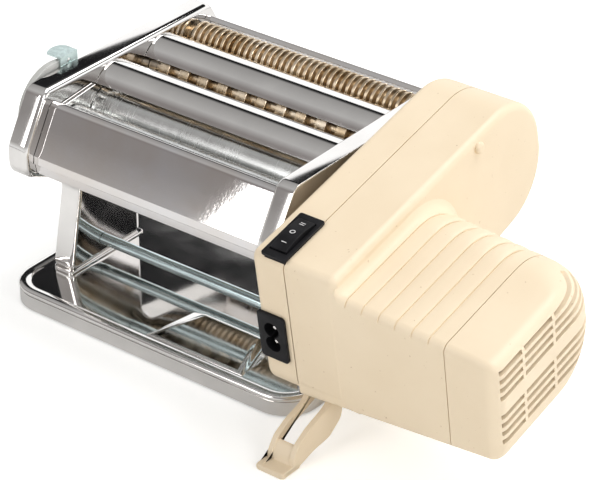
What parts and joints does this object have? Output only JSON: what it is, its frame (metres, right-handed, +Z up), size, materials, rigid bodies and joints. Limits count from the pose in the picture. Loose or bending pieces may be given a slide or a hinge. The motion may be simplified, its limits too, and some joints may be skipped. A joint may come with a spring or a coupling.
{
  "type": "electric pasta maker",
  "caption": "Chromed tabletop pasta machine with smooth rollers, wide and narrow cutters, a thickness regulator and a cream clip-on motor with a support foot.",
  "frame": {"origin": "on the table under the middle of the whole object", "axes": "+X along the rollers towards the motor, +Y to the back, +Z up"},
  "size_m": [0.328, 0.2058, 0.1423],
  "materials": {
    "chrome": "polished",
    "satin_steel": "satin",
    "cutter_steel": "satin",
    "zinc_plate": "zinc plated",
    "gear_steel": "machined",
    "grey_plastic": "matte",
    "cream_plastic": "fine texture",
    "black_plastic": "satin",
    "nylon": "matte",
    "rubber": "matte"
  },
  "bodies": {
    "frame": {"base_plate": "chrome", "rubber_foot_front_left": "rubber", "rubber_foot_front_right": "rubber", "rubber_foot_rear_left": "rubber", "rubber_foot_rear_right": "rubber", "left_side_panel": "chrome", "right_side_panel": "chrome", "front_cover": "chrome", "rear_cover": "chrome", "front_hood": "chrome", "rear_hood": "chrome", "wide_comb_front": "zinc_plate", "wide_comb_rear": "zinc_plate", "narrow_comb_front": "zinc_plate", "narrow_comb_rear": "zinc_plate", "scraper_front": "zinc_plate", "scraper_rear": "zinc_plate", "dough_guide_left": "chrome", "dough_guide_right": "chrome", "tie_rod_lower": "zinc_plate", "tie_rod_lower_nut_left": "zinc_plate", "tie_rod_lower_nut_right": "zinc_plate", "tie_rod_upper": "zinc_plate", "tie_rod_upper_nut_left": "zinc_plate", "tie_rod_upper_nut_right": "zinc_plate", "cover_plate_left": "chrome", "gear_cover_right": "chrome", "regulator_seat": "zinc_plate"},
    "smooth_rear": {"smooth_roller_rear": "satin_steel", "smooth_gear_rear": "gear_steel"},
    "bearing_blocks": {"bearing_block_left": "zinc_plate", "bearing_block_right": "zinc_plate"},
    "smooth_front": {"smooth_roller_front": "satin_steel", "smooth_gear_front": "gear_steel"},
    "wide_rear": {"wide_cutter_rear": "cutter_steel", "wide_gear_rear": "gear_steel"},
    "wide_front": {"wide_cutter_front": "cutter_steel", "wide_gear_front": "gear_steel"},
    "narrow_front": {"narrow_cutter_front": "cutter_steel", "narrow_gear_front": "gear_steel"},
    "narrow_rear": {"narrow_cutter_rear": "cutter_steel", "narrow_gear_rear": "gear_steel"},
    "regulator": {"regulator_disc": "grey_plastic", "regulator_lever": "zinc_plate"},
    "motor_unit": {"motor_housing": "cream_plastic", "arm_inner_shell": "cream_plastic", "end_cap": "cream_plastic", "switch_body": "black_plastic", "inlet_body": "black_plastic", "inlet_pin_upper": "chrome", "inlet_pin_lower": "chrome", "motor_can": "satin_steel", "support_foot_pin": "zinc_plate"},
    "drive": {"drive_gear": "nylon"},
    "idler_rear": {"idler_gear_rear": "nylon"},
    "idler_front": {"idler_gear_front": "nylon"},
    "rotor": {"motor_shaft": "satin_steel"},
    "rocker": {"switch_rocker": "black_plastic"},
    "foot": {"support_foot": "cream_plastic"}
  },
  "joints": [
    {"name": "smooth_rear_spin", "type": "hinge", "parent": "frame", "child": "smooth_rear", "pos_m": [-0.06454, -0.0025, 0.099], "axis": [1, 0, 0], "continuous": true},
    {"name": "roller_gap", "type": "slide", "parent": "frame", "child": "bearing_blocks", "axis": [0, 1, 0], "range_m": [0, 0.0026]},
    {"name": "smooth_front_spin", "type": "hinge", "parent": "bearing_blocks", "child": "smooth_front", "pos_m": [-0.06454, -0.0304, 0.099], "axis": [1, 0, 0], "continuous": true},
    {"name": "wide_rear_spin", "type": "hinge", "parent": "frame", "child": "wide_rear", "pos_m": [-0.06454, 0.0381, 0.1075], "axis": [1, 0, 0], "continuous": true},
    {"name": "wide_front_spin", "type": "hinge", "parent": "frame", "child": "wide_front", "pos_m": [-0.06454, 0.02186, 0.10405], "axis": [1, 0, 0], "continuous": true},
    {"name": "narrow_front_spin", "type": "hinge", "parent": "frame", "child": "narrow_front", "pos_m": [-0.06454, 0.05686, 0.10755], "axis": [1, 0, 0], "continuous": true},
    {"name": "narrow_rear_spin", "type": "hinge", "parent": "frame", "child": "narrow_rear", "pos_m": [-0.06454, 0.0731, 0.111], "axis": [1, 0, 0], "continuous": true},
    {"name": "regulator_turn", "type": "hinge", "parent": "frame", "child": "regulator", "pos_m": [-0.06454, -0.0259, 0.104], "axis": [1, 0, 0], "range_deg": [0, 160]},
    {"name": "motor_pull_off", "type": "slide", "parent": "frame", "child": "motor_unit", "axis": [1, 0, 0], "range_m": [0, 0.06]},
    {"name": "drive_spin", "type": "hinge", "parent": "motor_unit", "child": "drive", "pos_m": [0.02546, 0.05686, 0.10755], "axis": [1, 0, 0], "continuous": true},
    {"name": "idler_rear_spin", "type": "hinge", "parent": "motor_unit", "child": "idler_rear", "pos_m": [0.02546, 0.02259, 0.09575], "axis": [1, 0, 0], "continuous": true},
    {"name": "idler_front_spin", "type": "hinge", "parent": "motor_unit", "child": "idler_front", "pos_m": [0.02546, -0.00814, 0.08517], "axis": [1, 0, 0], "continuous": true},
    {"name": "rotor_spin", "type": "hinge", "parent": "motor_unit", "child": "rotor", "pos_m": [0.02546, -0.0306, 0.07743], "axis": [1, 0, 0], "continuous": true},
    {"name": "switch_rock", "type": "hinge", "parent": "motor_unit", "child": "rocker", "pos_m": [0.03936, -0.07127, 0.11404], "axis": [1, 0, 0], "range_deg": [-10, 10]},
    {"name": "foot_fold", "type": "hinge", "parent": "motor_unit", "child": "foot", "pos_m": [-0.06454, -0.0569, 0.025], "axis": [1, 0, 0], "range_deg": [0, 130]}
  ],
  "couplings": [
    {"joint": "smooth_front_spin", "follows": "smooth_rear_spin", "ratio": -1},
    {"joint": "regulator_turn", "follows": "roller_gap", "rad_per_m": 1073.9},
    {"joint": "wide_front_spin", "follows": "wide_rear_spin", "ratio": -1},
    {"joint": "narrow_front_spin", "follows": "drive_spin", "ratio": 1},
    {"joint": "narrow_rear_spin", "follows": "drive_spin", "ratio": -1},
    {"joint": "idler_rear_spin", "follows": "drive_spin", "ratio": -1.2308},
    {"joint": "idler_front_spin", "follows": "drive_spin", "ratio": 1.2308},
    {"joint": "rotor_spin", "follows": "drive_spin", "ratio": -2.6667}
  ]
}
